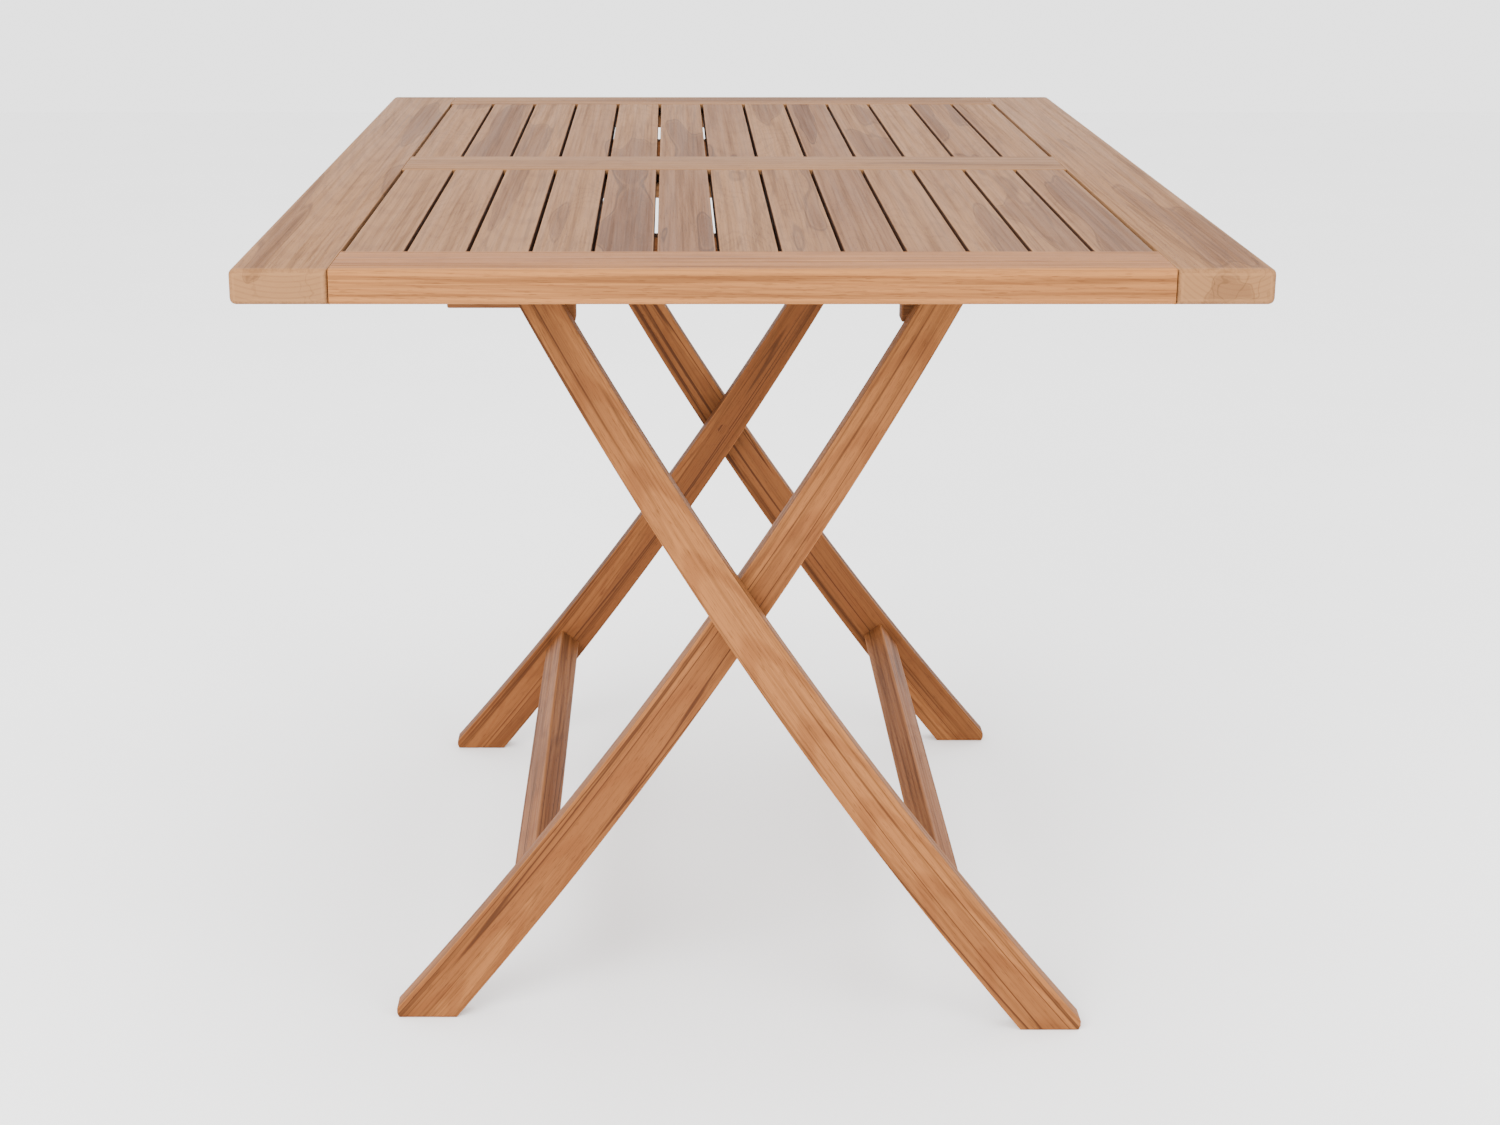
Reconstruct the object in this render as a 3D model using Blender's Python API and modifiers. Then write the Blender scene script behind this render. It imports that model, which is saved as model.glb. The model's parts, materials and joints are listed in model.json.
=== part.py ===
"""Folding picnic table: a slatted hardwood top on two crossing leg frames.

Metres, +Z up. X runs across the top, Y along it, and the floor is Z = 0 under the middle of the top.
The outer frame is bolted to hinge blocks under the top. The inner frame carries a round top bar
that slides under the battens as the legs fold flat.
"""
import math

import bmesh
import bpy

# Table top
TOP_WIDTH = 0.800
TOP_DEPTH = 1.200
TOP_HEIGHT = 0.750
RAIL_THICK = 0.028
SIDE_RAIL_WIDTH = 0.076
END_RAIL_WIDTH = 0.080
CENTRE_RAIL_WIDTH = 0.094
SLATS_PER_BAY = 13
SLAT_GAP = 0.003
SLAT_THICK = 0.018
TONGUE_LENGTH = 0.010
TONGUE_THICK = 0.008
TENON_LENGTH = 0.030
TENON_THICK = 0.012
TENON_SHOULDER = 0.014
JOINT_GAP = 0.0003

# Leg frames: each leg is sawn to a long arc and widens towards its foot
CROSSING_HEIGHT = 0.395
CROSSING_LEAN = math.radians(33.4)
LEG_RADIUS = 4.300
LEG_THICK = 0.024
LEG_WIDTH_AT_CROSSING = 0.0390
LEG_WIDENING = 0.0200
LEG_STATIONS = 14
HEAD_ARC_POINTS = 7
HINGE_ARC = 0.344
FOOT_TIP_HEIGHT = 0.009
OUTER_LEG_FACE = 0.389
LEG_SPACING = 0.0016
EDGE_ROUND = 0.002

# Stretchers and the round top bar
STRETCHER_ARC = 0.328
STRETCHER_ALONG_LEG = 0.034
STRETCHER_ACROSS_LEG = 0.025
STRETCHER_TENON_ALONG = 0.024
STRETCHER_TENON_ACROSS = 0.014
STUB_LENGTH = 0.015
BAR_RADIUS = 0.015
BAR_END_RADIUS = 0.010

# Battens and hinge blocks under the slats
BATTEN_HALF_LENGTH = 0.2547
BATTEN_THICK = 0.024
BATTEN_BOTTOM = 0.675
BATTEN_CLEARANCE = 0.001
HOOK_BOTTOM = 0.657
HOOK_INNER = 0.139
BAR_CLEARANCE = 0.0015
BLOCK_OUTER = 0.2547
BLOCK_INNER = 0.144
BLOCK_CHAMFER = 0.006
BLOCK_TOE_BOTTOM = 0.674
BLOCK_TOE_INNER = 0.187
BLOCK_HEEL_OUTER = 0.1765

# Hardware
BOLT_RADIUS = 0.004
HEAD_RADIUS = 0.0065
HEAD_HEIGHT = 0.005
HOLE_CLEARANCE = 0.0005
PIVOT_COUNTERBORE = 0.010
THREAD_IN_LEG = 0.016
WASHER_THICK = 0.001
WASHER_RADIUS = 0.011
ROUND_STEPS = 24

# Turn buttons that lock the bar
BUTTON_LENGTH = 0.045
BUTTON_WIDTH = 0.014
BUTTON_THICK = 0.005
BUTTON_PIVOT_X = 0.2035
BUTTON_PIVOT_Z = 0.7190
BUTTON_SCREW_RADIUS = 0.0022
BUTTON_SCREW_HEAD = 0.0045
BUTTON_SCREW_HEAD_HEIGHT = 0.0025
BUTTON_SCREW_DEPTH = 0.015

TOP_INSIDE = TOP_WIDTH / 2 - SIDE_RAIL_WIDTH
SLAT_TOP = TOP_HEIGHT - JOINT_GAP
SLAT_BOTTOM = SLAT_TOP - SLAT_THICK
SUPPORT_TOP = SLAT_BOTTOM - JOINT_GAP
RAIL_MIDDLE = TOP_HEIGHT - RAIL_THICK / 2
INNER_LEG_FACE = OUTER_LEG_FACE - LEG_THICK - LEG_SPACING
BATTEN_FACE = INNER_LEG_FACE - LEG_THICK - BATTEN_CLEARANCE
QUARTER = math.pi / 2


def clear_scene():
    for old in list(bpy.data.objects):
        bpy.data.objects.remove(old, do_unlink=True)


def collection(name):
    made = bpy.data.collections.new(name)
    bpy.context.scene.collection.children.link(made)
    return made


def material(name, colour, roughness, metallic=0.0):
    made = bpy.data.materials.new(name)
    made.use_nodes = True
    shader = made.node_tree.nodes["Principled BSDF"]
    shader.inputs["Base Color"].default_value = (*colour, 1.0)
    shader.inputs["Roughness"].default_value = roughness
    shader.inputs["Metallic"].default_value = metallic
    return made


clear_scene()
PARTS = collection("folding_picnic_table")
CUTTERS = collection("cutters")
TEAK_TOP = material("teak_top", (0.43, 0.28, 0.17), 0.6)
TEAK_LEG = material("teak_leg", (0.46, 0.26, 0.13), 0.6)
TEAK_SUPPORT = material("teak_support", (0.36, 0.20, 0.10), 0.65)
STEEL = material("steel", (0.60, 0.60, 0.58), 0.35, 1.0)
BRASS = material("brass", (0.70, 0.52, 0.26), 0.35, 1.0)


def place(piece, where, paint, parent=None):
    """Put a piece in the parts collection at a world position, under its joint's empty if it has one."""
    PARTS.objects.link(piece)
    piece.data.materials.append(paint)
    piece.parent = parent
    origin = parent.matrix_world.translation if parent else (0.0, 0.0, 0.0)
    piece.location = [a - b for a, b in zip(where, origin)]
    return piece


def joint_empty(name, where, parent=None):
    empty = bpy.data.objects.new(name, None)
    PARTS.objects.link(empty)
    empty.parent = parent
    origin = parent.matrix_world.translation if parent else (0.0, 0.0, 0.0)
    empty.location = [a - b for a, b in zip(where, origin)]
    bpy.context.view_layer.update()
    return empty


def box_mesh(name, size):
    mesh = bpy.data.meshes.new(name)
    shape = bmesh.new()
    bmesh.ops.create_cube(shape, size=1.0)
    bmesh.ops.scale(shape, vec=size, verts=shape.verts)
    shape.to_mesh(mesh)
    shape.free()
    return mesh


def box(name, size, where, paint, parent=None, lean=0.0):
    piece = place(bpy.data.objects.new(name, box_mesh(name, size)), where, paint, parent)
    piece.rotation_euler.y = lean
    return piece


def flat_board(name, outline, thick):
    """A flat outline in X and Z, extruded along Y, as a mesh with welded caps."""
    drawn = bpy.data.curves.new(name, "CURVE")
    drawn.dimensions = "2D"
    drawn.fill_mode = "BOTH"
    drawn.extrude = thick / 2
    line = drawn.splines.new("POLY")
    line.points.add(len(outline) - 1)
    for point, (x, z) in zip(line.points, outline):
        point.co = (x, z, 0.0, 1.0)
    line.use_cyclic_u = True
    guide = bpy.data.objects.new(name + "_outline", drawn)
    CUTTERS.objects.link(guide)
    bpy.context.view_layer.update()
    mesh = bpy.data.meshes.new_from_object(guide.evaluated_get(bpy.context.evaluated_depsgraph_get()))
    bpy.data.objects.remove(guide, do_unlink=True)
    mesh.name = name
    shape = bmesh.new()
    shape.from_mesh(mesh)
    bmesh.ops.remove_doubles(shape, verts=shape.verts, dist=1e-5)
    bmesh.ops.dissolve_limit(shape, angle_limit=1e-3, verts=shape.verts, edges=shape.edges)
    for vert in shape.verts:
        x, up, across = vert.co
        vert.co = (x, -across, up)
    bmesh.ops.recalc_face_normals(shape, faces=shape.faces)
    shape.to_mesh(mesh)
    shape.free()
    return mesh


def turned(name, profile, where, paint, parent=None, outwards=1.0, closed=False):
    """A profile of (radius, distance) turned about an axis that lies along Y."""
    mesh = bpy.data.meshes.new(name)
    points = [(radius, 0.0, along) for radius, along in profile]
    edges = [(i, i + 1) for i in range(len(points) - 1)]
    if closed:
        edges.append((len(points) - 1, 0))
    mesh.from_pydata(points, edges, [])
    piece = place(bpy.data.objects.new(name, mesh), where, paint, parent)
    piece.rotation_euler.x = QUARTER * outwards
    screw = piece.modifiers.new("turn", "SCREW")
    screw.steps = ROUND_STEPS
    screw.render_steps = ROUND_STEPS
    screw.use_merge_vertices = True
    screw.merge_threshold = 1e-5
    screw.use_smooth_shade = True
    return piece


def boolean(piece, operation, tool):
    change = piece.modifiers.new(operation.lower(), "BOOLEAN")
    change.operation = operation
    change.object = tool
    change.solver = "EXACT"


def tool_object(name, mesh, where, lean=0.0, tip=0.0):
    tool = bpy.data.objects.new(name, mesh)
    CUTTERS.objects.link(tool)
    tool.location = where
    tool.rotation_euler = (tip, lean, 0.0)
    tool.hide_render = True
    tool.display_type = "WIRE"
    return tool


def cut_box(piece, size, where, lean=0.0):
    boolean(piece, "DIFFERENCE", tool_object(piece.name + "_slot", box_mesh("slot", size), where, lean))


def add_box(piece, size, where, lean=0.0):
    boolean(piece, "UNION", tool_object(piece.name + "_tenon", box_mesh("tenon", size), where, lean))


def cut_round(piece, radius, length, where):
    """A round hole along Y, centred on a point."""
    mesh = bpy.data.meshes.new("hole")
    shape = bmesh.new()
    bmesh.ops.create_cone(shape, cap_ends=True, segments=ROUND_STEPS, radius1=radius, radius2=radius, depth=length)
    shape.to_mesh(mesh)
    shape.free()
    boolean(piece, "DIFFERENCE", tool_object(piece.name + "_hole", mesh, where, tip=QUARTER))


def soften(piece, width=EDGE_ROUND):
    bevel = piece.modifiers.new("round_edges", "BEVEL")
    bevel.width = width
    bevel.segments = 2
    bevel.limit_method = "ANGLE"
    bevel.angle_limit = math.radians(50)


def centreline(down):
    """Centre and lean of the outer leg at an arc length below the crossing, or above it if negative."""
    lean = CROSSING_LEAN + down / LEG_RADIUS
    x = LEG_RADIUS * (math.cos(CROSSING_LEAN) - math.cos(lean))
    z = CROSSING_HEIGHT - LEG_RADIUS * (math.sin(lean) - math.sin(CROSSING_LEAN))
    return x, z, lean


def leg_edge(down, side):
    """A point on the leg's upper edge (side 1) or under edge (side -1)."""
    x, z, lean = centreline(down)
    half = (LEG_WIDTH_AT_CROSSING + LEG_WIDENING * down) / 2
    return x + side * half * math.cos(lean), z + side * half * math.sin(lean)


def arc_to_height(side, height):
    """Arc length at which an edge of the leg comes down to a height."""
    low, high = 0.0, 1.0
    for _ in range(50):
        middle = (low + high) / 2
        if leg_edge(middle, side)[1] > height:
            low = middle
        else:
            high = middle
    return low


HINGE_X, HINGE_Z, HINGE_LEAN = centreline(-HINGE_ARC)
BAR_X = -HINGE_X


def leg_outline():
    """The outer leg from its round head down the upper edge to the level foot, and back up."""
    tip = arc_to_height(1, FOOT_TIP_HEIGHT)
    heel = arc_to_height(-1, 0.0)
    head_radius = (LEG_WIDTH_AT_CROSSING - LEG_WIDENING * HINGE_ARC) / 2
    head = []
    for i in range(1, HEAD_ARC_POINTS):
        turn = -HINGE_LEAN - math.pi + math.pi * i / HEAD_ARC_POINTS
        head.append((HINGE_X + head_radius * math.cos(turn), HINGE_Z - head_radius * math.sin(turn)))
    span = [i / LEG_STATIONS for i in range(LEG_STATIONS + 1)]
    upper = [leg_edge(-HINGE_ARC + t * (tip + HINGE_ARC), 1) for t in span]
    under = [leg_edge(-HINGE_ARC + t * (heel + HINGE_ARC), -1) for t in span]
    return head + upper + [(upper[-1][0], 0.0)] + under[::-1]


def build_rails():
    for name, side in (("side_rail_left", -1), ("side_rail_right", 1)):
        middle = side * (TOP_WIDTH - SIDE_RAIL_WIDTH) / 2
        rail = box(name, (SIDE_RAIL_WIDTH, TOP_DEPTH, RAIL_THICK), (middle, 0, RAIL_MIDDLE), TEAK_TOP)
        soften(rail)
        for y, width in CROSS_RAILS.values():
            size = (2 * TENON_LENGTH, width - 2 * TENON_SHOULDER + 2 * JOINT_GAP, TENON_THICK + 2 * JOINT_GAP)
            cut_box(rail, size, (side * TOP_INSIDE, y, RAIL_MIDDLE))
    for name, (y, width) in CROSS_RAILS.items():
        length = 2 * (TOP_INSIDE - JOINT_GAP)
        rail = box(name, (length, width, RAIL_THICK), (0, y, RAIL_MIDDLE), TEAK_TOP)
        for side in (-1, 1):
            if abs(y + side * width / 2) < TOP_DEPTH / 2 - JOINT_GAP:
                size = (length, 2 * (TONGUE_LENGTH + JOINT_GAP), TONGUE_THICK + 2 * JOINT_GAP)
                cut_box(rail, size, (0, y + side * width / 2, TONGUE_HEIGHT))
        tenon = 2 * (TOP_INSIDE + TENON_LENGTH - JOINT_GAP)
        for side in (-1, 1):
            reach = (tenon - length) / 2 + TENON_SHOULDER
            middle = side * (tenon / 2 - reach / 2)
            add_box(rail, (reach, width - 2 * TENON_SHOULDER, TENON_THICK), (middle, y, RAIL_MIDDLE))


CROSS_RAILS = {
    "end_rail_front": (-(TOP_DEPTH - END_RAIL_WIDTH) / 2, END_RAIL_WIDTH),
    "centre_rail": (0.0, CENTRE_RAIL_WIDTH),
    "end_rail_rear": ((TOP_DEPTH - END_RAIL_WIDTH) / 2, END_RAIL_WIDTH),
}
TONGUE_HEIGHT = SLAT_TOP - SLAT_THICK / 2
BAY_START = CENTRE_RAIL_WIDTH / 2
BAY_END = TOP_DEPTH / 2 - END_RAIL_WIDTH


def build_slats():
    """One board with a tongue at each end, repeated across both bays."""
    pitch = (2 * TOP_INSIDE - SLAT_GAP) / SLATS_PER_BAY
    width = pitch - SLAT_GAP
    half = (BAY_END - BAY_START) / 2 - JOINT_GAP
    reach = half + TONGUE_LENGTH
    flat, thin = SLAT_THICK / 2, TONGUE_THICK / 2
    outline = [(-half, flat), (half, flat), (half, thin), (reach, thin), (reach, -thin), (half, -thin),
               (half, -flat), (-half, -flat), (-half, -thin), (-reach, -thin), (-reach, thin), (-half, thin)]
    mesh = flat_board("slat", outline, width)
    mesh.materials.append(TEAK_TOP)
    for bay, side in (("front", -1), ("rear", 1)):
        for i in range(SLATS_PER_BAY):
            slat = bpy.data.objects.new(f"slat_{bay}_{i + 1:02d}", mesh)
            PARTS.objects.link(slat)
            slat.rotation_euler.z = QUARTER
            across = -TOP_INSIDE + SLAT_GAP + width / 2 + i * pitch
            slat.location = (across, side * (BAY_START + BAY_END) / 2, TONGUE_HEIGHT)


def build_supports():
    """Battens with a hooked seat for the bar, and the blocks that the outer legs are bolted to."""
    seat = HINGE_Z + BAR_RADIUS + BAR_CLEARANCE
    hook_outer = BAR_X - BAR_RADIUS - BATTEN_CLEARANCE
    batten_outline = [
        (-BATTEN_HALF_LENGTH, SUPPORT_TOP), (BATTEN_HALF_LENGTH, SUPPORT_TOP), (BATTEN_HALF_LENGTH, seat),
        (hook_outer, seat), (hook_outer, HOOK_BOTTOM), (HOOK_INNER, HOOK_BOTTOM),
        (HOOK_INNER, BATTEN_BOTTOM), (-BATTEN_HALF_LENGTH, BATTEN_BOTTOM),
    ]
    block_outline = [
        (-BLOCK_OUTER, SUPPORT_TOP), (-BLOCK_INNER, SUPPORT_TOP), (-BLOCK_INNER, HOOK_BOTTOM + BLOCK_CHAMFER),
        (-BLOCK_INNER - BLOCK_CHAMFER, HOOK_BOTTOM), (-BLOCK_HEEL_OUTER, HOOK_BOTTOM),
        (-BLOCK_TOE_INNER, BLOCK_TOE_BOTTOM), (-BLOCK_OUTER, BLOCK_TOE_BOTTOM),
    ]
    block_thick = INNER_LEG_FACE - BATTEN_FACE - JOINT_GAP
    for end, side in (("front", -1), ("rear", 1)):
        batten_y = side * (BATTEN_FACE - BATTEN_THICK / 2)
        mesh = flat_board("batten_" + end, batten_outline, BATTEN_THICK)
        batten = place(bpy.data.objects.new("batten_" + end, mesh), (0, batten_y, 0), TEAK_SUPPORT)
        cut_round(batten, BOLT_RADIUS + HOLE_CLEARANCE, 2 * BATTEN_THICK, (HINGE_X, batten_y, HINGE_Z))
        inner_face = side * (BATTEN_FACE - BATTEN_THICK)
        cut_round(batten, BUTTON_SCREW_RADIUS + HOLE_CLEARANCE, 2 * (BUTTON_SCREW_DEPTH + JOINT_GAP),
                  (BUTTON_PIVOT_X, inner_face, BUTTON_PIVOT_Z))
        block_y = side * (INNER_LEG_FACE - block_thick / 2)
        mesh = flat_board("hinge_block_" + end, block_outline, block_thick)
        block = place(bpy.data.objects.new("hinge_block_" + end, mesh), (0, block_y, 0), TEAK_SUPPORT)
        cut_round(block, BOLT_RADIUS + HOLE_CLEARANCE, 2 * block_thick, (HINGE_X, block_y, HINGE_Z))


def build_leg(name, mirror, face, side, parent):
    """One leg, with its blind mortise for the stretcher. mirror is 1 for the outer frame, -1 for the inner."""
    outline = [(mirror * x, z) for x, z in leg_outline()]
    middle = side * (face - LEG_THICK / 2)
    mesh = flat_board(name, outline, LEG_THICK)
    leg = place(bpy.data.objects.new(name, mesh), (0, middle, 0), TEAK_LEG, parent)
    soften(leg)
    x, z, lean = centreline(STRETCHER_ARC)
    size = (STRETCHER_TENON_ACROSS + 2 * JOINT_GAP, 2 * (STUB_LENGTH + JOINT_GAP),
            STRETCHER_TENON_ALONG + 2 * JOINT_GAP)
    cut_box(leg, size, (mirror * x, side * (face - LEG_THICK), z), -mirror * lean)
    return leg


def build_stretcher(name, mirror, face, parent):
    x, z, lean = centreline(STRETCHER_ARC)
    half = face - LEG_THICK - JOINT_GAP
    where = (mirror * x, 0, z)
    size = (STRETCHER_ACROSS_LEG, 2 * half, STRETCHER_ALONG_LEG)
    piece = box(name, size, where, TEAK_LEG, parent, -mirror * lean)
    tenon = (STRETCHER_TENON_ACROSS, 2 * (half + STUB_LENGTH), STRETCHER_TENON_ALONG)
    add_box(piece, tenon, where, -mirror * lean)


def bolt(name, where, length, outwards, paint, parent=None):
    """A round-headed bolt: the head starts at the point given, and the shank runs on from it along Y."""
    profile = [(0, HEAD_HEIGHT), (HEAD_RADIUS, HEAD_HEIGHT), (HEAD_RADIUS, 0), (BOLT_RADIUS, 0),
               (BOLT_RADIUS, -length), (0, -length)]
    return turned(name, profile, where, paint, parent, outwards)


def washer(name, where, parent=None):
    bore = BOLT_RADIUS + HOLE_CLEARANCE
    half = WASHER_THICK / 2
    ring = [(bore, half), (WASHER_RADIUS, half), (WASHER_RADIUS, -half), (bore, -half)]
    return turned(name, ring, where, BRASS, parent, closed=True)


def build_outer_frame(fold):
    for end, side in (("front", -1), ("rear", 1)):
        leg = build_leg("outer_leg_" + end, 1, OUTER_LEG_FACE, side, fold)
        inside = side * (OUTER_LEG_FACE - LEG_THICK)
        for x, z in ((HINGE_X, HINGE_Z), (0.0, CROSSING_HEIGHT)):
            cut_round(leg, BOLT_RADIUS + HOLE_CLEARANCE, 2 * (THREAD_IN_LEG + JOINT_GAP), (x, inside, z))
        head_y = BATTEN_FACE - BATTEN_THICK - JOINT_GAP
        length = OUTER_LEG_FACE - LEG_THICK + THREAD_IN_LEG - head_y
        bolt("hinge_bolt_" + end, (HINGE_X, side * head_y, HINGE_Z), length, side, STEEL, fold)
        head_y = INNER_LEG_FACE - LEG_THICK + PIVOT_COUNTERBORE - JOINT_GAP
        length = OUTER_LEG_FACE - LEG_THICK + THREAD_IN_LEG - head_y
        bolt("pivot_bolt_" + end, (0, side * head_y, CROSSING_HEIGHT), length, side, STEEL, fold)
        gap_middle = side * (OUTER_LEG_FACE - LEG_THICK - LEG_SPACING / 2)
        washer("hinge_washer_" + end, (HINGE_X, gap_middle, HINGE_Z))
    build_stretcher("outer_stretcher", 1, OUTER_LEG_FACE, fold)


def build_inner_frame(crossing):
    for end, side in (("front", -1), ("rear", 1)):
        leg = build_leg("inner_leg_" + end, -1, INNER_LEG_FACE, side, crossing)
        middle = side * (INNER_LEG_FACE - LEG_THICK / 2)
        inside = side * (INNER_LEG_FACE - LEG_THICK)
        cut_round(leg, BOLT_RADIUS + HOLE_CLEARANCE, 2 * LEG_THICK, (0, middle, CROSSING_HEIGHT))
        cut_round(leg, HEAD_RADIUS + HOLE_CLEARANCE, 2 * PIVOT_COUNTERBORE, (0, inside, CROSSING_HEIGHT))
        cut_round(leg, BAR_END_RADIUS + HOLE_CLEARANCE, 2 * (STUB_LENGTH + JOINT_GAP), (BAR_X, inside, HINGE_Z))
        depth = PIVOT_COUNTERBORE - HEAD_HEIGHT - 2 * JOINT_GAP
        plug_middle = side * (INNER_LEG_FACE - LEG_THICK + depth / 2)
        plug = [(0, depth / 2), (HEAD_RADIUS, depth / 2), (HEAD_RADIUS, -depth / 2), (0, -depth / 2)]
        turned("pivot_plug_" + end, plug, (0, plug_middle, CROSSING_HEIGHT), TEAK_LEG, crossing)
        gap_middle = side * (OUTER_LEG_FACE - LEG_THICK - LEG_SPACING / 2)
        washer("pivot_washer_" + end, (0, gap_middle, CROSSING_HEIGHT), crossing)
    build_stretcher("inner_stretcher", -1, INNER_LEG_FACE, crossing)
    half = INNER_LEG_FACE - LEG_THICK - JOINT_GAP
    end = half + STUB_LENGTH
    profile = [(0, end), (BAR_END_RADIUS, end), (BAR_END_RADIUS, half), (BAR_RADIUS, half),
               (BAR_RADIUS, -half), (BAR_END_RADIUS, -half), (BAR_END_RADIUS, -end), (0, -end)]
    turned("top_bar", profile, (BAR_X, 0, HINGE_Z), TEAK_LEG, crossing)


def button_outline():
    """A plate with round ends that reaches to the right of its screw."""
    radius = BUTTON_WIDTH / 2
    reach = BUTTON_LENGTH - BUTTON_WIDTH
    steps = ROUND_STEPS // 2
    right = [(reach + radius * math.sin(math.pi * i / steps), radius * math.cos(math.pi * i / steps))
             for i in range(steps + 1)]
    left = [(-radius * math.sin(math.pi * i / steps), -radius * math.cos(math.pi * i / steps))
            for i in range(steps + 1)]
    return right + left


def build_turn_buttons():
    for end, side in (("front", -1), ("rear", 1)):
        face = BATTEN_FACE - BATTEN_THICK - JOINT_GAP
        middle = side * (face - BUTTON_THICK / 2)
        pivot = joint_empty(f"turn_axis_{end}", (BUTTON_PIVOT_X, middle, BUTTON_PIVOT_Z))
        name = "turn_button_" + end
        mesh = flat_board(name, button_outline(), BUTTON_THICK)
        button = place(bpy.data.objects.new(name, mesh), tuple(pivot.location), BRASS, pivot)
        cut_round(button, BUTTON_SCREW_RADIUS + HOLE_CLEARANCE, 2 * BUTTON_THICK, tuple(pivot.location))
        start = face - BUTTON_THICK - JOINT_GAP
        length = BUTTON_SCREW_DEPTH + BUTTON_THICK + JOINT_GAP
        profile = [(0, BUTTON_SCREW_HEAD_HEIGHT), (BUTTON_SCREW_HEAD, BUTTON_SCREW_HEAD_HEIGHT),
                   (BUTTON_SCREW_HEAD, 0), (BUTTON_SCREW_RADIUS, 0), (BUTTON_SCREW_RADIUS, -length), (0, -length)]
        turned("button_screw_" + end, profile, (BUTTON_PIVOT_X, side * start, BUTTON_PIVOT_Z), BRASS,
               outwards=side)


build_rails()
build_slats()
build_supports()
fold_axis = joint_empty("leg_fold_axis", (HINGE_X, 0, HINGE_Z))
build_outer_frame(fold_axis)
crossing_axis = joint_empty("crossing_axis", (0, 0, CROSSING_HEIGHT), fold_axis)
build_inner_frame(crossing_axis)
build_turn_buttons()
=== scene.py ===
"""Folding picnic table: finished boards, bowed legs, hardware and finishes around the fixed frame.

Metres, +Z up. X runs across the top, Y along it, and the floor is Z = 0 under the middle of the top.
Every board carries three attributes: "grain", its own length, width and thickness in metres; "tone",
how dark its timber is, below 0 on end grain, with painted shade added as well: past 1 on the slats'
sides in the gaps between slats, and raised on the rear legs; and "edge", 1 on the narrow faces where
an edge has been rounded over.
"""
import json
import math
import random

import bmesh
import bpy
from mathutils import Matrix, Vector


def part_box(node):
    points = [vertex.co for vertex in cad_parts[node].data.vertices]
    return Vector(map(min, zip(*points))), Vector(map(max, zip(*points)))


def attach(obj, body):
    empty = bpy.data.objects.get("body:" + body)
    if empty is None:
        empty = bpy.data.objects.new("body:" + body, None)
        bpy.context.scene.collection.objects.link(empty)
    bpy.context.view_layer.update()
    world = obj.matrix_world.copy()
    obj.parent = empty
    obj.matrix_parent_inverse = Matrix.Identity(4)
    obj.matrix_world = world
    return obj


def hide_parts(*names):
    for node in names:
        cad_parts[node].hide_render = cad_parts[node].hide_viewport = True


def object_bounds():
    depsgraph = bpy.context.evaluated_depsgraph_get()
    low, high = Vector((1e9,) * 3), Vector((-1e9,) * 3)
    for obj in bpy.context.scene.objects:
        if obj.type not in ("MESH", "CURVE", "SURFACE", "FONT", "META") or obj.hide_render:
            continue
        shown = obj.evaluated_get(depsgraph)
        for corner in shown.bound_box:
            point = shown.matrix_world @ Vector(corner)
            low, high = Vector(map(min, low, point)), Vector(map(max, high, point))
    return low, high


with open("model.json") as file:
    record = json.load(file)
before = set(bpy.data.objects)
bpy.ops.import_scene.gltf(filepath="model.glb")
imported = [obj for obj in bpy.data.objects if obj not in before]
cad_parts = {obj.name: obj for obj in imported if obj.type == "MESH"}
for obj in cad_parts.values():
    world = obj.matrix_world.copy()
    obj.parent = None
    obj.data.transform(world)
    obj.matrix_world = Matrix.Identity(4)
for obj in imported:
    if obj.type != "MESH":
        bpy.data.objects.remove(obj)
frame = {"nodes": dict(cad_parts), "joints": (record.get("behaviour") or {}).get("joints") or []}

cad_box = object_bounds()

# Table top
OUTER_ROUND = 0.0050
JOINT_ROUND = 0.0006
SLAT_ROUND = 0.0014
TENON_LENGTH = 0.030
TENON_THICK = 0.012
TENON_SHOULDER = 0.014
TONGUE_THICK = 0.008
TONGUE_LENGTH = 0.010
JOINT_GAP = 0.0003
SLATS_PER_BAY = 13
SLAT_GAP = 0.003
SLAT_THICK = 0.018
END_RAIL_WIDTH = 0.080
CENTRE_RAIL_WIDTH = 0.094

# Leg frames, each leg sawn to a long arc
CROSSING_HEIGHT = 0.395
CROSSING_LEAN = math.radians(33.4)
LEG_RADIUS = 4.300
LEG_WIDTH_AT_CROSSING = 0.0390
LEG_WIDENING = 0.0200
HINGE_ARC = 0.344
FOOT_TIP_HEIGHT = 0.009
LEG_ROUND = 0.0028
LEG_STATIONS = 57
LEG_COLUMNS = 13
STRETCHER_ARC = 0.328
STRETCHER_ALONG_LEG = 0.034
STRETCHER_ACROSS_LEG = 0.025
STRETCHER_ROUND = 0.0022
STUB_LENGTH = 0.015
STRETCHER_TENON_ALONG = 0.024
STRETCHER_TENON_ACROSS = 0.014
BAR_RADIUS = 0.015
BAR_END_RADIUS = 0.010
BAR_ROUND = 0.0015

# Supports under the top
BATTEN_BOTTOM = 0.675
HOOK_INNER = 0.139
HOOK_OUTER = 0.16168
SEAT_HEIGHT = 0.70595
BLOCK_CHAMFER = 0.006
BLOCK_TOE_BOTTOM = 0.674
BLOCK_TOE_INNER = 0.187
BLOCK_HEEL_OUTER = 0.1765
SUPPORT_ROUND = 0.0015

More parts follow.
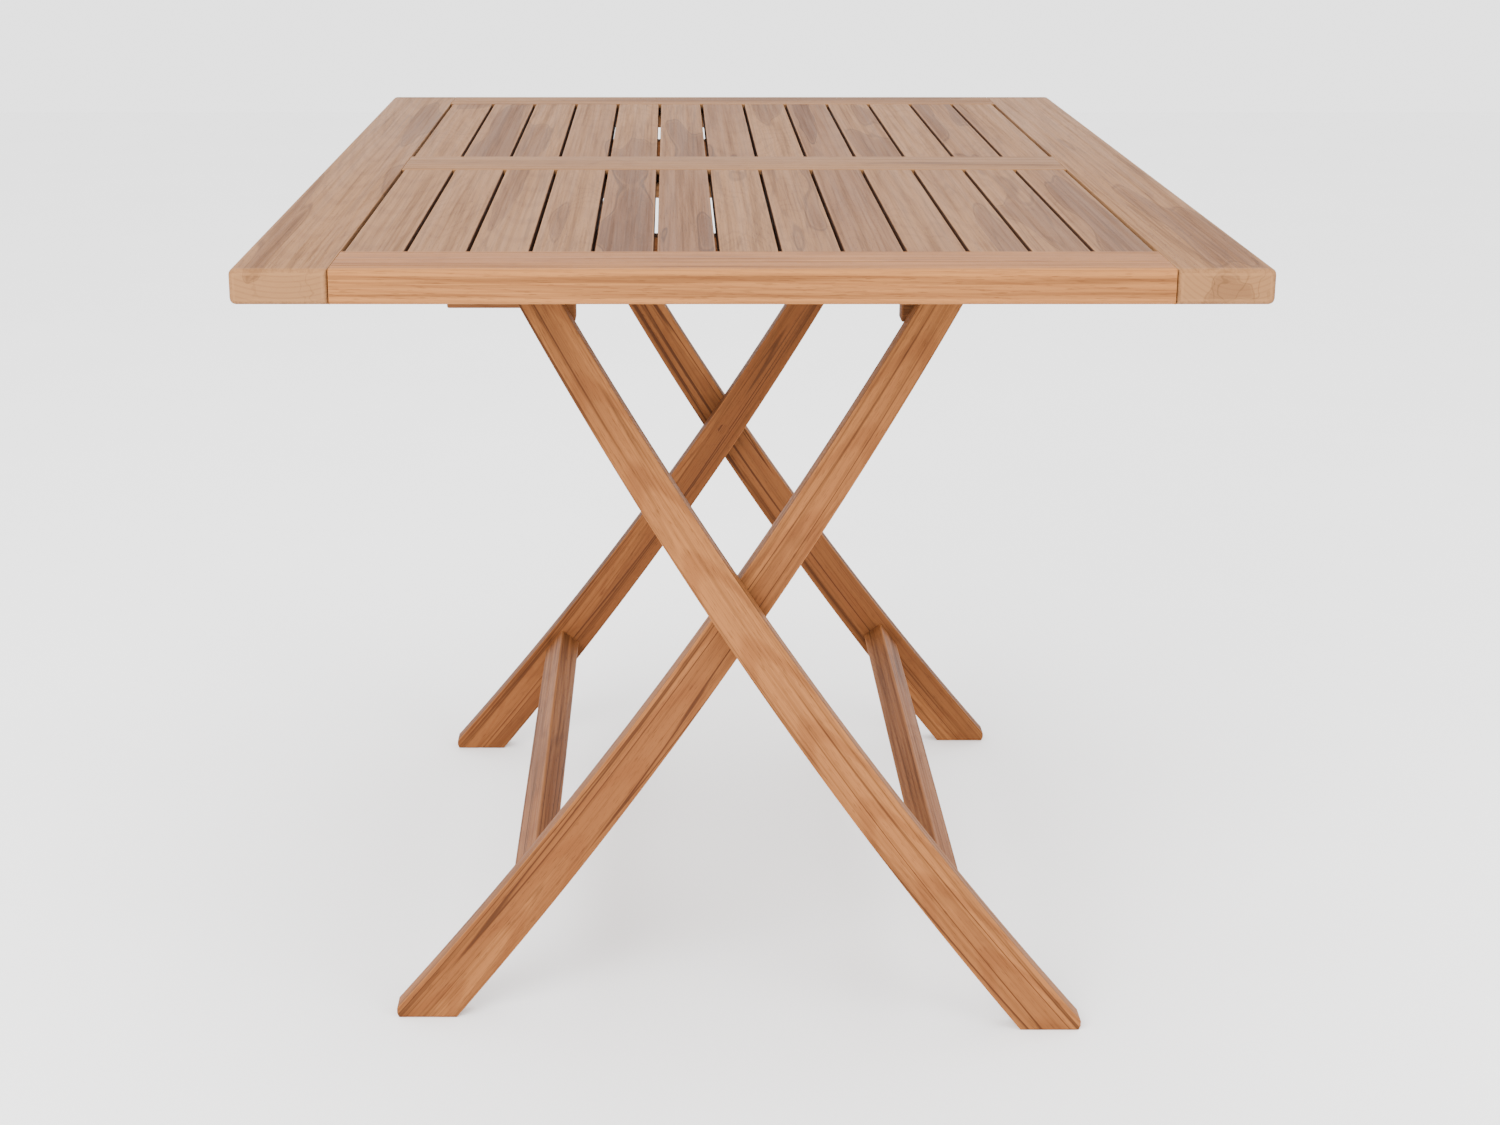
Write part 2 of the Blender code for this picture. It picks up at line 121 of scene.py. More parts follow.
# Hardware
BATTEN_SCREW_HEAD = 0.0042
SCREW_PROUD = 0.0004
BOLT_HEAD = 0.0065
BOLT_HEAD_HEIGHT = 0.005
BOLT_SHANK = 0.004
BOLT_DOME = 0.0022
HEX_SOCKET = 0.0023
HEX_SOCKET_DEPTH = 0.005
SCREW_HEIGHT = 0.0016
SCREW_SLOT = 0.0011
BATTEN_SCREWS = 8
BATTEN_SCREW_START = -5
BLOCK_SCREW_INSET = 0.012
BLOCK_SCREW_PITCH = 0.032
BUTTON_SCREW_HEAD = 0.0045
BUTTON_SCREW_HEIGHT = 0.0025
BUTTON_ROUND = 0.0010
PLUG_DOME = 0.0003
PLUG_LIFT = 0.0001
WASHER_SLACK = 0.0005

# How dark each slat's timber is, from left to right, and the painted shade on the slats' sides in the gaps
# between them
GAP_PAINTED_SHADE = 2.0
END_GRAIN_TONE = -0.5
FRONT_TONES = (0.20, 0.30, 0.16, 0.22, 0.52, 0.66, 0.18, 0.30, 0.62, 0.34, 0.26, 0.22, 0.30)
REAR_TONES = (0.22, 0.30, 0.18, 0.42, 0.20, 0.34, 0.58, 0.24, 0.52, 0.28, 0.20, 0.34, 0.26)

JOINTS = {joint["name"]: joint for joint in frame["joints"]}
HINGE = Vector(JOINTS["leg_fold"]["pos_m"])
TOP_HEIGHT = cad_box[1].z
TOP_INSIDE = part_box("side_rail_right")[0].x

# Worked out from the values above
SLAT_MIDDLE = TOP_HEIGHT - JOINT_GAP - SLAT_THICK / 2
SLAT_PITCH = (2 * TOP_INSIDE - SLAT_GAP) / SLATS_PER_BAY
BAY_START = CENTRE_RAIL_WIDTH / 2
BAY_END = cad_box[1].y - END_RAIL_WIDTH
END_MIDDLE = cad_box[1].y - END_RAIL_WIDTH / 2
CROSS_RAILS = {
    "end_rail_front": (-END_MIDDLE, END_RAIL_WIDTH),
    "centre_rail": (0.0, CENTRE_RAIL_WIDTH),
    "end_rail_rear": (END_MIDDLE, END_RAIL_WIDTH),
}

X, Y, Z = (1, 0, 0), (0, 1, 0), (0, 0, 1)
QUARTER_TURN = math.pi / 2
SMOOTH_ANGLE = math.radians(30)
NARROW_FACE = 0.0026

# Growth rings, in radians of the pattern per metre: one ring about every 4 mm
RING_TURNS = 1500.0

# Studio: each lamp's name, place, size and power
LAMPS = (
    ("key", (-1.6, -3.2, 2.2), 2.2, 215.0),
    ("fill", (2.6, -2.4, 1.4), 2.0, 70.0),
    ("overhead", (0.2, 0.6, 3.2), 2.6, 45.0),
)
LAMP_TARGET = Vector((0, 0, 0.45))
AIR_STRENGTH = 2.6
CAMERA_PLACE = (-0.0636, -2.4795, 1.0831)
CAMERA_PITCH = 0.2926


# ---------------------------------------------------------------- node helpers

def wire(tree, kind, inputs=None, **settings):
    """Add a node, set its options, and give each input a value or a link."""
    node = tree.nodes.new(kind)
    for key, value in settings.items():
        setattr(node, key, value)
    for key, value in (inputs or {}).items():
        if isinstance(value, bpy.types.NodeSocket):
            tree.links.new(value, node.inputs[key])
        else:
            node.inputs[key].default_value = value
    return node


def calc(tree, operation, first, second=0.0):
    """One sum on numbers; returns its result."""
    return wire(tree, "ShaderNodeMath", {0: first, 1: second}, operation=operation).outputs[0]


def plus(tree, first, second):
    return calc(tree, "ADD", first, second)


def minus(tree, first, second):
    return calc(tree, "SUBTRACT", first, second)


def times(tree, first, *factors):
    for factor in factors:
        first = calc(tree, "MULTIPLY", first, factor)
    return first


def vector_sum(tree, operation, first, second=(0.0, 0.0, 0.0)):
    node = wire(tree, "ShaderNodeVectorMath", {0: first, 1: second}, operation=operation)
    return node.outputs["Value" if operation == "LENGTH" else "Vector"]


def split(tree, vector):
    return wire(tree, "ShaderNodeSeparateXYZ", {0: vector}).outputs


def join_xyz(tree, x=0.0, y=0.0, z=0.0):
    return wire(tree, "ShaderNodeCombineXYZ", {0: x, 1: y, 2: z}).outputs[0]


# ---------------------------------------------------------------- materials

def new_finish(name):
    made = bpy.data.materials.new(name)
    made.use_nodes = True
    return made, made.node_tree, made.node_tree.nodes["Principled BSDF"]


def attribute(tree, name, output):
    return wire(tree, "ShaderNodeAttribute", attribute_name=name).outputs[output]


def noise(tree, where, scale=1.0, detail=3.0, roughness=0.55, warp=0.0):
    inputs = {"Vector": where, "Scale": scale, "Detail": detail, "Roughness": roughness, "Distortion": warp}
    return wire(tree, "ShaderNodeTexNoise", inputs).outputs[0]


def smooth(tree, value, low, high, start=0.0, end=1.0):
    """A soft step between two limits."""
    inputs = {"Value": value, "From Min": low, "From Max": high, "To Min": start, "To Max": end}
    return wire(tree, "ShaderNodeMapRange", inputs, interpolation_type="SMOOTHSTEP").outputs[0]


def blend_colour(tree, amount, first, second):
    node = wire(tree, "ShaderNodeMix", data_type="RGBA")
    for index, value in ((0, amount), (6, first), (7, second)):
        if isinstance(value, bpy.types.NodeSocket):
            tree.links.new(value, node.inputs[index])
        else:
            node.inputs[index].default_value = value if index == 0 else (*value, 1.0)
    return node.outputs[2]


def contour(tree, value, level, width):
    """A thin line where a pattern crosses a level."""
    away = calc(tree, "ABSOLUTE", minus(tree, value, level))
    return smooth(tree, away, width * 0.2, width, 1.0, 0.0)


def teak(name, pale, deep, vein, patches, rings, streaks, run=0.5, roughness=0.6):
    """Oiled teak: growth rings, long fibres, open pores, wavy heartwood patches and worn edges, with
    painted shade where the tone is past 1.

    A lower run draws the streaks and patches out further along the board.
    """
    made, tree, shader = new_finish(name)
    grain = attribute(tree, "grain", "Vector")
    tone = attribute(tree, "tone", "Fac")
    edge = attribute(tree, "edge", "Fac")
    along, across, through = split(tree, grain)[:]

    def drawn_out(lengthwise, crosswise, **settings):
        """Noise stretched along the board."""
        where = vector_sum(tree, "MULTIPLY", grain, (lengthwise, crosswise, crosswise))
        return noise(tree, where, **settings)

    drift = drawn_out(2.6, 15.0, detail=2.0)
    wander = times(tree, minus(tree, drift, 0.5), 0.030)
    depth = plus(tree, times(tree, along, 0.045), plus(tree, through, wander))
    radial = vector_sum(tree, "LENGTH", join_xyz(tree, across, depth))
    ring = calc(tree, "SINE", times(tree, plus(tree, radial, wander), RING_TURNS))
    late_wood = smooth(tree, ring, 0.25, 1.0)

    fibre = drawn_out(9.0 * run, 420.0, detail=3.0, roughness=0.6)
    streak = drawn_out(3.0 * run, 120.0, detail=4.0, roughness=0.65)
    cloud = drawn_out(3.0 * run, 16.0, detail=3.0)
    pores = smooth(tree, drawn_out(70.0, 1500.0, detail=1.0), 0.62, 0.70)

    figure = drawn_out(3.2 * run, 19.0, detail=1.5, warp=0.30)
    patch = smooth(tree, figure, 0.575, 0.600)
    border = contour(tree, figure, 0.578, 0.010)
    vessel = drawn_out(1.6 * run, 42.0, detail=2.0, warp=0.20)
    lines = times(tree, contour(tree, vessel, 0.5, 0.020), smooth(tree, cloud, 0.42, 0.60))

    shade = plus(tree, tone, times(tree, minus(tree, cloud, 0.5), 0.9))
    marked = times(tree, smooth(tree, tone, 0.05, 0.55, 0.45, 1.0), patches)
    lengthwise = smooth(tree, tone, -0.4, 0.0)
    heart = tuple(0.6 * a + 0.4 * b for a, b in zip(deep, vein))
    worn = tuple(min(1.0, part * 1.35) for part in pale)

    colour = blend_colour(tree, smooth(tree, shade, 0.0, 1.0), pale, deep)
    for amount, paint in (
            (times(tree, patch, marked), heart),
            (times(tree, border, times(tree, marked, 0.8)), vein),
            (times(tree, late_wood, rings), deep),
            (times(tree, lines, streaks), vein),
            (times(tree, smooth(tree, streak, 0.52, 0.70), streaks, lengthwise), vein),
            (times(tree, smooth(tree, fibre, 0.42, 0.72, 0.0, 0.38), lengthwise), vein),
            (times(tree, pores, 0.45, lengthwise), vein),
            (times(tree, edge, smooth(tree, cloud, 0.25, 0.75, 0.10, 0.38)), worn),
            # Painted shade: faces with a tone past 1, the slats' sides in the gaps, are darkened towards
            # the vein colour
            (smooth(tree, tone, 1.0, 2.0, 0.0, 0.9), vein)):
        colour = blend_colour(tree, amount, colour, paint)
    tree.links.new(colour, shader.inputs["Base Color"])

    dullness = plus(tree, smooth(tree, streak, 0.3, 0.8, roughness - 0.05, roughness + 0.12),
                    times(tree, fibre, 0.08))
    tree.links.new(dullness, shader.inputs["Roughness"])
    shader.inputs["Specular IOR Level"].default_value = 0.10
    relief = minus(tree, plus(tree, fibre, times(tree, late_wood, 0.35)),
                  times(tree, pores, 1.2))
    bump = wire(tree, "ShaderNodeBump", {"Height": relief, "Strength": 0.4, "Distance": 0.0004})
    tree.links.new(bump.outputs[0], shader.inputs["Normal"])
    return made


def turned_metal(name, bright, tarnish, roughness):
    """Metal with fine turning marks, small scratches and darker tarnish in patches."""
    made, tree, shader = new_finish(name)
    where = wire(tree, "ShaderNodeTexCoord").outputs["Object"]
    stain = noise(tree, where, scale=240.0, detail=4.0)
    scratch = noise(tree, vector_sum(tree, "MULTIPLY", where, (2600.0, 300.0, 2600.0)), detail=2.0)
    colour = blend_colour(tree, smooth(tree, stain, 0.42, 0.72, 0.0, 0.8), bright, tarnish)
    colour = blend_colour(tree, smooth(tree, scratch, 0.55, 0.8, 0.0, 0.25), colour, tarnish)
    tree.links.new(colour, shader.inputs["Base Color"])
    tree.links.new(smooth(tree, stain, 0.3, 0.75, roughness, roughness + 0.25), shader.inputs["Roughness"])
    bump = wire(tree, "ShaderNodeBump", {"Height": scratch, "Strength": 0.2, "Distance": 0.00008})
    tree.links.new(bump.outputs[0], shader.inputs["Normal"])
    shader.inputs["Metallic"].default_value = 1.0
    return made


def floor_finish():
    made, tree, shader = new_finish("studio_floor")
    where = wire(tree, "ShaderNodeTexCoord").outputs["Object"]
    shade = smooth(tree, noise(tree, where, scale=3.0, detail=2.0), 0.2, 0.8)
    colour = blend_colour(tree, shade, (0.93, 0.93, 0.93), (0.95, 0.95, 0.95))
    tree.links.new(colour, shader.inputs["Base Color"])
    shader.inputs["Roughness"].default_value = 0.85
    return made


TEAK_TOP = teak("weathered_teak", (0.206, 0.100, 0.041), (0.116, 0.048, 0.020), (0.040, 0.014, 0.005),
                patches=0.85, rings=0.24, streaks=0.30, run=0.6)
TEAK_EDGE = teak("end_rail_teak", (0.276, 0.114, 0.034), (0.174, 0.062, 0.018), (0.062, 0.018, 0.005),
                 patches=0.20, rings=0.38, streaks=0.55)
TEAK_LEG = teak("leg_teak", (0.256, 0.100, 0.030), (0.132, 0.042, 0.012), (0.034, 0.010, 0.003),
                patches=0.45, rings=0.40, streaks=0.80, run=0.4)
TEAK_SUPPORT = teak("support_teak", (0.170, 0.066, 0.023), (0.095, 0.033, 0.011), (0.034, 0.010, 0.004),
                    patches=0.30, rings=0.25, streaks=0.60, roughness=0.66)
STEEL = turned_metal("stainless_steel", (0.62, 0.61, 0.59), (0.38, 0.37, 0.35), 0.25)
BRASS = turned_metal("brass", (0.72, 0.52, 0.24), (0.36, 0.22, 0.09), 0.28)


# ---------------------------------------------------------------- mesh helpers

def new_piece(name, mesh):
    piece = bpy.data.objects.new(name, mesh)
    bpy.context.scene.collection.objects.link(piece)
    return piece


def settle(piece):
    """Make the modifiers' result the piece's plain mesh, with its place in the mesh."""
    bpy.context.view_layer.update()
    seen = piece.evaluated_get(bpy.context.evaluated_depsgraph_get())
    mesh = bpy.data.meshes.new_from_object(seen)
    mesh.transform(piece.matrix_world)
    piece.modifiers.clear()
    piece.data = mesh
    piece.location = (0, 0, 0)
    piece.rotation_euler = (0, 0, 0)
    shape = bmesh.new()
    shape.from_mesh(mesh)
    bmesh.ops.remove_doubles(shape, verts=shape.verts, dist=1e-6)
    bmesh.ops.recalc_face_normals(shape, faces=shape.faces)
    shape.to_mesh(mesh)
    shape.free()
    mesh.name = piece.name
    return piece


def mark_edges(piece, widest=NARROW_FACE):
    """Set "edge" to 1 on faces so narrow that they can only be part of a rounded edge."""
    mesh = piece.data
    marks = mesh.attributes.get("edge") or mesh.attributes.new("edge", "FLOAT", "FACE")
    for face, mark in zip(mesh.polygons, marks.data):
        corners = [mesh.vertices[i].co for i in face.vertices]
        shortest = min((corners[i] - corners[i - 1]).length for i in range(len(corners)))
        mark.value = 1.0 if shortest < widest else 0.0


def set_tone(piece, tone):
    """One tone for a whole piece, or a function of the face."""
    mesh = piece.data
    marks = mesh.attributes.get("tone") or mesh.attributes.new("tone", "FLOAT", "FACE")
    for face, mark in zip(mesh.polygons, marks.data):
        mark.value = tone(face) if callable(tone) else tone


def set_grain(piece, axes, seed):
    """Write each point's length, width and thickness along the board; seed picks the plank it came from."""
    draw = random.Random(seed)
    shift = Vector((draw.uniform(-4, 4), draw.uniform(-0.02, 0.02), draw.uniform(0.02, 0.05)))
    length, width, thick = (Vector(axis) for axis in axes)
    low, high = piece_box(piece)
    middle = (low + high) / 2
    marks = piece.data.attributes.new("grain", "FLOAT_VECTOR", "POINT")
    for vert, mark in zip(piece.data.vertices, marks.data):
        offset = vert.co - middle
        mark.vector = shift + Vector((offset.dot(length), offset.dot(width), offset.dot(thick)))


def piece_box(piece):
    corners = [vert.co for vert in piece.data.vertices]
    low = Vector([min(corner[i] for corner in corners) for i in range(3)])
    high = Vector([max(corner[i] for corner in corners) for i in range(3)])
    return low, high


def finish_piece(piece, paint, body, nodes):
    piece.data.materials.clear()
    piece.data.materials.append(paint)
    piece.data.shade_smooth()
    piece.data.set_sharp_from_angle(angle=SMOOTH_ANGLE)
    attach(piece, body)
    if nodes:
        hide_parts(*nodes)
    return piece


def timber(piece, axes, seed, tone, paint, body, nodes):
    set_grain(piece, axes, seed)
    set_tone(piece, tone)
    mark_edges(piece)
    return finish_piece(piece, paint, body, nodes)


def rounded_box(name, low, high, outer, widths, lean=0.0, centre=None):
    """A closed box with each edge rounded: wide where outer(edge middle) is true, fine elsewhere."""
    low, high = Vector(low), Vector(high)
    mesh = bpy.data.meshes.new(name)
    shape = bmesh.new()
    bmesh.ops.create_cube(shape, size=1.0)
    bmesh.ops.scale(shape, vec=high - low, verts=shape.verts)
    bmesh.ops.translate(shape, vec=(low + high) / 2, verts=shape.verts)
    weights = shape.edges.layers.float.new("bevel_weight_edge")
    wide, fine = widths
    for line in shape.edges:
        middle = (line.verts[0].co + line.verts[1].co) / 2
        line[weights] = 1.0 if outer(middle) else fine / wide
    shape.to_mesh(mesh)
    shape.free()
    piece = new_piece(name, mesh)
    if centre is not None:
        piece.location = centre
        piece.rotation_euler.y = lean
    bevel = piece.modifiers.new("round_edges", "BEVEL")
    bevel.limit_method = "WEIGHT"
    bevel.width = wide
    bevel.segments = 4
    return piece


def plain_box(name, size, where, lean=0.0):
    mesh = bpy.data.meshes.new(name)
    shape = bmesh.new()
    bmesh.ops.create_cube(shape, size=1.0)
    bmesh.ops.scale(shape, vec=size, verts=shape.verts)
    shape.to_mesh(mesh)
    shape.free()
    tool = new_piece(name, mesh)
    tool.location = where
    tool.rotation_euler.y = lean
    return tool


def carve(piece, tools, operation="DIFFERENCE"):
    """Cut or join boxes, then make the result plain."""
    for tool in tools:
        change = piece.modifiers.new(operation.lower(), "BOOLEAN")
        change.operation = operation
        change.object = tool
        change.solver = "EXACT"
    settle(piece)
    for tool in tools:
        bpy.data.objects.remove(tool, do_unlink=True)
    return piece


# ---------------------------------------------------------------- the top's rails

def rail_tone(face):
    """Even timber along a side rail, with sanded end grain at its two ends."""
    return END_GRAIN_TONE if abs(face.normal.y) > 0.9 else 0.22


def build_side_rails():
    """Long rails with rounded outside edges and a blind mortise for each cross rail."""
    for name, side in (("side_rail_left", -1), ("side_rail_right", 1)):
        low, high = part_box(name)
        edge_x = side * cad_box[1].x

        def outside(middle):
            return abs(middle.x - edge_x) < 1e-4 or abs(abs(middle.y) - high.y) < 1e-4

        rail = rounded_box(name + "_board", low, high, outside, (OUTER_ROUND, JOINT_ROUND))
        middle_z = (low.z + high.z) / 2
        cuts = []
        for y, width in CROSS_RAILS.values():
            size = (2 * TENON_LENGTH, width - 2 * TENON_SHOULDER + 2 * JOINT_GAP,
                    TENON_THICK + 2 * JOINT_GAP)
            cuts.append(plain_box("mortise", size, (side * TOP_INSIDE, y, middle_z)))
        carve(rail, cuts)
        timber(rail, (Y, X, Z), 40 + side, rail_tone, TEAK_TOP, "top", [name])


def build_cross_rails():
    """End and centre rails: tenoned into the side rails and grooved for the slats' tongues."""
    for seed, (name, (y, width)) in enumerate(CROSS_RAILS.items()):
        low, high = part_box(name)
        half = TOP_INSIDE - JOINT_GAP
        reach = high.x
        outer_y = y + math.copysign(width / 2, y)

        def outside(middle):
            return abs(y) > 0 and abs(middle.y - outer_y) < 1e-4 and abs(middle.x) < half - 0.01

        rail = rounded_box(name + "_board", (-half, y - width / 2, low.z), (half, y + width / 2, high.z),
                           outside, (OUTER_ROUND, JOINT_ROUND))
        settle(rail)
        middle_z = (low.z + high.z) / 2
        tenons = []
        for side in (-1, 1):
            inner = half - TENON_SHOULDER
            size = (reach - inner, width - 2 * TENON_SHOULDER, TENON_THICK)
            tenons.append(plain_box("tenon", size, (side * (inner + reach) / 2, y, middle_z)))
        carve(rail, tenons, "UNION")
        grooves = []
        for side in (-1, 1):
            wall = y + side * width / 2
            if abs(wall) < cad_box[1].y - JOINT_GAP:
                size = (2 * half, 2 * (TONGUE_LENGTH + JOINT_GAP), TONGUE_THICK + 2 * JOINT_GAP)
                grooves.append(plain_box("groove", size, (0, wall, SLAT_MIDDLE)))
        carve(rail, grooves)
        paint = TEAK_EDGE if y < 0 else TEAK_TOP
        timber(rail, (X, Y, Z), 60 + seed, 0.26, paint, "top", [name])


# ---------------------------------------------------------------- geometry node trees

def node_tree(name, sockets):
    """An empty tree with a geometry output and named inputs."""
    tree = bpy.data.node_groups.new(name, "GeometryNodeTree")
    tree.interface.new_socket("Geometry", in_out="OUTPUT", socket_type="NodeSocketGeometry")
    for label, kind in sockets.items():
        tree.interface.new_socket(label, in_out="INPUT", socket_type="NodeSocket" + kind)
    return tree, tree.nodes.new("NodeGroupInput").outputs


def end_tree(tree, geometry, paint):
    """Every tree ends with its instances made real and its material set."""
    real = wire(tree, "GeometryNodeRealizeInstances", {0: geometry}).outputs[0]
    painted = wire(tree, "GeometryNodeSetMaterial", {"Geometry": real, "Material": paint}).outputs[0]
    wire(tree, "NodeGroupOutput", {0: painted})


def grow(name, tree, values):
    """Run a tree, as a modifier on a new piece, with the values given by input name."""
    piece = new_piece(name, bpy.data.meshes.new(name))
    maker = piece.modifiers.new(tree.name, "NODES")
    maker.node_group = tree
    for item in tree.interface.items_tree:
        if item.in_out == "INPUT":
            maker[item.identifier] = values[item.name]
    return piece


def store(tree, geometry, name, value, kind="FLOAT_VECTOR", domain="POINT"):
    node = wire(tree, "GeometryNodeStoreNamedAttribute", {"Geometry": geometry, "Name": name},
                data_type=kind, domain=domain)
    tree.links.new(value, node.inputs["Value"])
    return node.outputs[0]


def named(tree, name, kind="FLOAT_VECTOR"):
    return wire(tree, "GeometryNodeInputNamedAttribute", {"Name": name}, data_type=kind).outputs[0]


def slat_tree():
    """A run of tongued slats: a rounded section, drawn out, a tongue at each end, then repeated."""
    tree, given = node_tree("slat_run", {
        "Count": "Int", "Pitch": "Float", "Width": "Float", "Thickness": "Float", "Length": "Float",
        "Round": "Float", "Tongue Length": "Float", "Tongue Share": "Float", "Start": "Vector",
        "Seed": "Int", "Material": "Material"})
    section = wire(tree, "GeometryNodeCurvePrimitiveQuadrilateral",
                   {"Width": given["Width"], "Height": given["Thickness"]}).outputs[0]
    rounded = wire(tree, "GeometryNodeFilletCurve",
                   {"Curve": section, "Count": 3, "Radius": given["Round"]}, mode="POLY").outputs[0]
    face = wire(tree, "GeometryNodeFillCurve", {0: rounded}, mode="NGONS").outputs[0]
    back = times(tree, given["Length"], -0.5)
    start = wire(tree, "GeometryNodeTransform",
                 {"Geometry": face, "Translation": join_xyz(tree, z=back)}).outputs[0]
    drawn = wire(tree, "GeometryNodeExtrudeMesh", {
        "Mesh": start, "Offset": join_xyz(tree, z=given["Length"]), "Offset Scale": 1.0,
        "Individual": False})
    base = wire(tree, "GeometryNodeFlipFaces", {0: start}).outputs[0]
    both = wire(tree, "GeometryNodeJoinGeometry")
    tree.links.new(drawn.outputs[0], both.inputs[0])
    tree.links.new(base, both.inputs[0])
    solid = wire(tree, "GeometryNodeMergeByDistance",
                 {"Geometry": both.outputs[0], "Distance": 1e-5}).outputs[0]
    facing = split(tree, wire(tree, "GeometryNodeInputNormal").outputs[0])[2]
    ends = calc(tree, "GREATER_THAN", calc(tree, "ABSOLUTE", facing), 0.9)
    shoulder = wire(tree, "GeometryNodeExtrudeMesh", {
        "Mesh": solid, "Selection": ends, "Offset Scale": 0.0, "Individual": False})
    thin = wire(tree, "GeometryNodeScaleElements", {
        "Geometry": shoulder.outputs[0], "Selection": shoulder.outputs["Top"],
        "Scale": given["Tongue Share"], "Axis": Y}, domain="FACE", scale_mode="SINGLE_AXIS").outputs[0]
    narrow = wire(tree, "GeometryNodeScaleElements", {
        "Geometry": thin, "Selection": shoulder.outputs["Top"], "Scale": 0.99, "Axis": X},
        domain="FACE", scale_mode="SINGLE_AXIS").outputs[0]
    tongued = wire(tree, "GeometryNodeExtrudeMesh", {
        "Mesh": narrow, "Selection": shoulder.outputs["Top"], "Offset Scale": given["Tongue Length"],
        "Individual": False}).outputs[0]
    laid = wire(tree, "GeometryNodeTransform",
                {"Geometry": tongued, "Rotation": (-math.pi / 2, 0.0, 0.0)}).outputs[0]
    place = split(tree, wire(tree, "GeometryNodeInputPosition").outputs[0])
    board = store(tree, laid, "grain", join_xyz(tree, place[1], place[0], place[2]))
    line = wire(tree, "GeometryNodeMeshLine", {
        "Count": given["Count"], "Start Location": given["Start"],
        "Offset": join_xyz(tree, x=given["Pitch"])}).outputs[0]
    run = wire(tree, "GeometryNodeInstanceOnPoints", {"Points": line, "Instance": board}).outputs[0]
    plank = wire(tree, "FunctionNodeRandomValue", {
        0: (-4.0, -0.02, 0.02), 1: (4.0, 0.02, 0.05), "Seed": given["Seed"]},
        data_type="FLOAT_VECTOR").outputs[0]
    marked = store(tree, run, "plank", plank, domain="INSTANCE")
    real = wire(tree, "GeometryNodeRealizeInstances", {0: marked}).outputs[0]
    own = vector_sum(tree, "ADD", named(tree, "grain"), named(tree, "plank"))
    end_tree(tree, store(tree, real, "grain", own), given["Material"])
    return tree


def build_slats():
    """Both bays of slats, each bay grown as one piece."""
    tree = slat_tree()
    width = SLAT_PITCH - SLAT_GAP
    first = -TOP_INSIDE + SLAT_GAP + width / 2
    for bay, side, seed, tones in (("front", -1, 5, FRONT_TONES), ("rear", 1, 11, REAR_TONES)):
        slats = grow("slats_" + bay, tree, {
            "Count": SLATS_PER_BAY, "Pitch": SLAT_PITCH, "Width": width, "Thickness": SLAT_THICK,
            "Length": BAY_END - BAY_START - 2 * JOINT_GAP, "Round": SLAT_ROUND,
            "Tongue Length": TONGUE_LENGTH, "Tongue Share": TONGUE_THICK / SLAT_THICK,
            "Start": (first, side * (BAY_START + BAY_END) / 2, SLAT_MIDDLE), "Seed": seed,
            "Material": TEAK_TOP})
        settle(slats)

        # Sides facing across the top, in the gaps between slats, get the painted gap shade instead of the
        # slat's tone
        def slat_tone_and_gap_shade(face):
            board = round((face.center.x - first) / SLAT_PITCH)
            return GAP_PAINTED_SHADE if abs(face.normal.x) > 0.9 else tones[board]

        set_tone(slats, slat_tone_and_gap_shade)
        mark_edges(slats)
        nodes = [f"slat_{bay}_{i + 1:02d}" for i in range(SLATS_PER_BAY)]
        finish_piece(slats, TEAK_TOP, "top", nodes)


def centreline(down):
    """Centre and lean of the outer leg at an arc length below the crossing, or above it if negative."""
    lean = CROSSING_LEAN + down / LEG_RADIUS
    x = LEG_RADIUS * (math.cos(CROSSING_LEAN) - math.cos(lean))
    z = CROSSING_HEIGHT - LEG_RADIUS * (math.sin(lean) - math.sin(CROSSING_LEAN))
    return x, z, lean


def arc_to_height(side, height):
    """Arc length at which the leg's upper edge (side 1) or under edge (side -1) comes down to a height."""
    low, high = 0.0, 1.0
    for _ in range(50):
        down = (low + high) / 2
        z, lean = centreline(down)[1:]
        half = (LEG_WIDTH_AT_CROSSING + LEG_WIDENING * down) / 2
        if z + side * half * math.sin(lean) > height:
            low = down
        else:
            high = down
    return low


